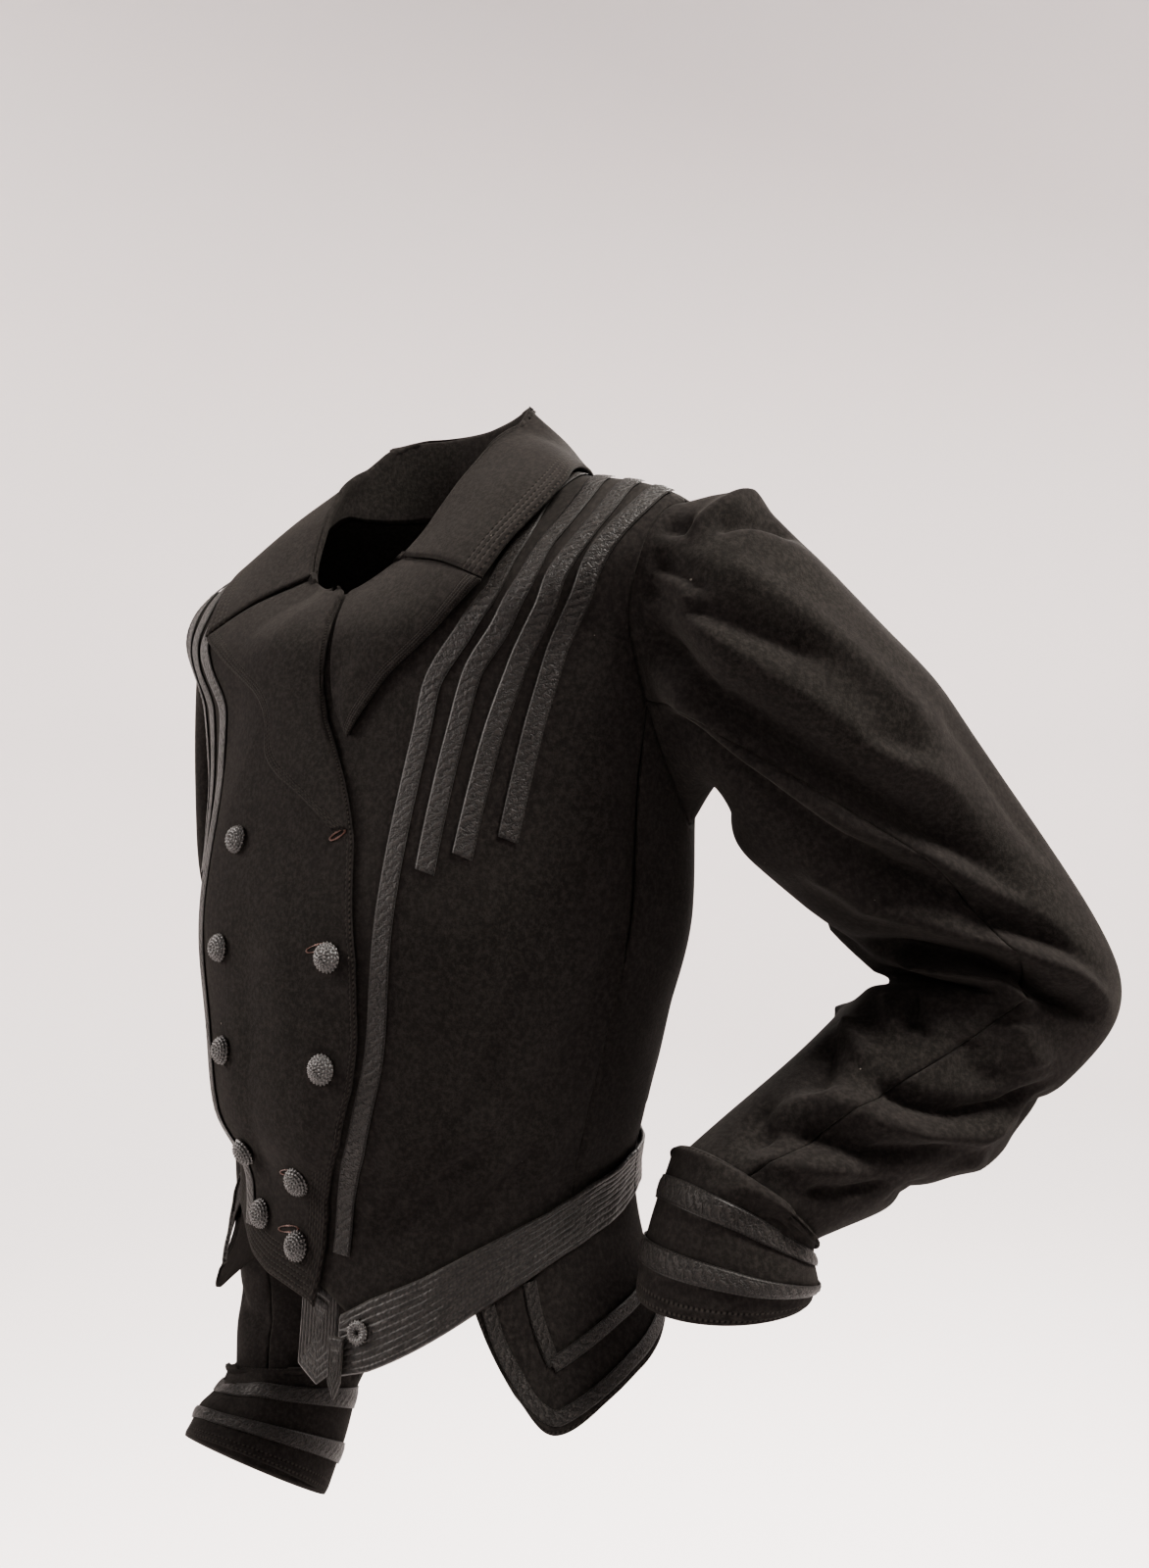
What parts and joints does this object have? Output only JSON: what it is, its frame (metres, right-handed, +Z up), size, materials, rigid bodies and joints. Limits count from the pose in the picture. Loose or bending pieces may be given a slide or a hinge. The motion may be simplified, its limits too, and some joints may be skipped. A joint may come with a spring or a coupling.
{
  "type": "jacket",
  "caption": "Fitted double-breasted black wool jacket in its hollow worn shape, with a turned collar, lapels, tape trimming, crocheted buttons, a belt and two hip tabs",
  "frame": {"origin": "middle of the neck opening, where the wearer holds the jacket up", "axes": "+Z up, the jacket's front faces -Y, the wearer's left is +X"},
  "size_m": [0.5958, 0.3102, 0.6913],
  "materials": {
    "wool": "matt napped wool, almost black",
    "tape": "brown-black silk tape, slightly glossy",
    "belting": "brown-black cloth sewn in close rows",
    "crochet": "brown-black crocheted thread"
  },
  "bodies": {
    "root": {"back_left": "wool", "back_right": "wool", "belt_back": "belting", "belt_eyelet": "crochet", "belt_keeper": "belting", "belt_left": "belting", "belt_right": "belting", "belt_tab_end": "belting", "button_far_1": "crochet", "button_far_2": "crochet", "button_far_3": "crochet", "button_far_4": "crochet", "button_far_5": "crochet", "button_near_2": "crochet", "button_near_3": "crochet", "button_near_4": "crochet", "button_near_5": "crochet", "collar": "wool", "cuff_left": "wool", "cuff_right": "wool", "cuff_tape_1_left": "tape", "cuff_tape_1_right": "tape", "cuff_tape_2_left": "tape", "cuff_tape_2_right": "tape", "front_left": "wool", "front_right": "wool", "lapel_left": "wool", "lapel_right": "wool", "peplum_border_left": "tape", "peplum_border_right": "tape", "peplum_left": "wool", "peplum_right": "wool", "peplum_v_left": "tape", "peplum_v_right": "tape", "side_left": "wool", "side_right": "wool", "sleeve_under_left": "wool", "sleeve_under_right": "wool", "sleeve_upper_left": "wool", "sleeve_upper_right": "wool", "tape_1_left": "tape", "tape_1_right": "tape", "tape_2_left": "tape", "tape_2_right": "tape", "tape_3_left": "tape", "tape_3_right": "tape", "tape_4_left": "tape", "tape_4_right": "tape"}
  },
  "joints": []
}
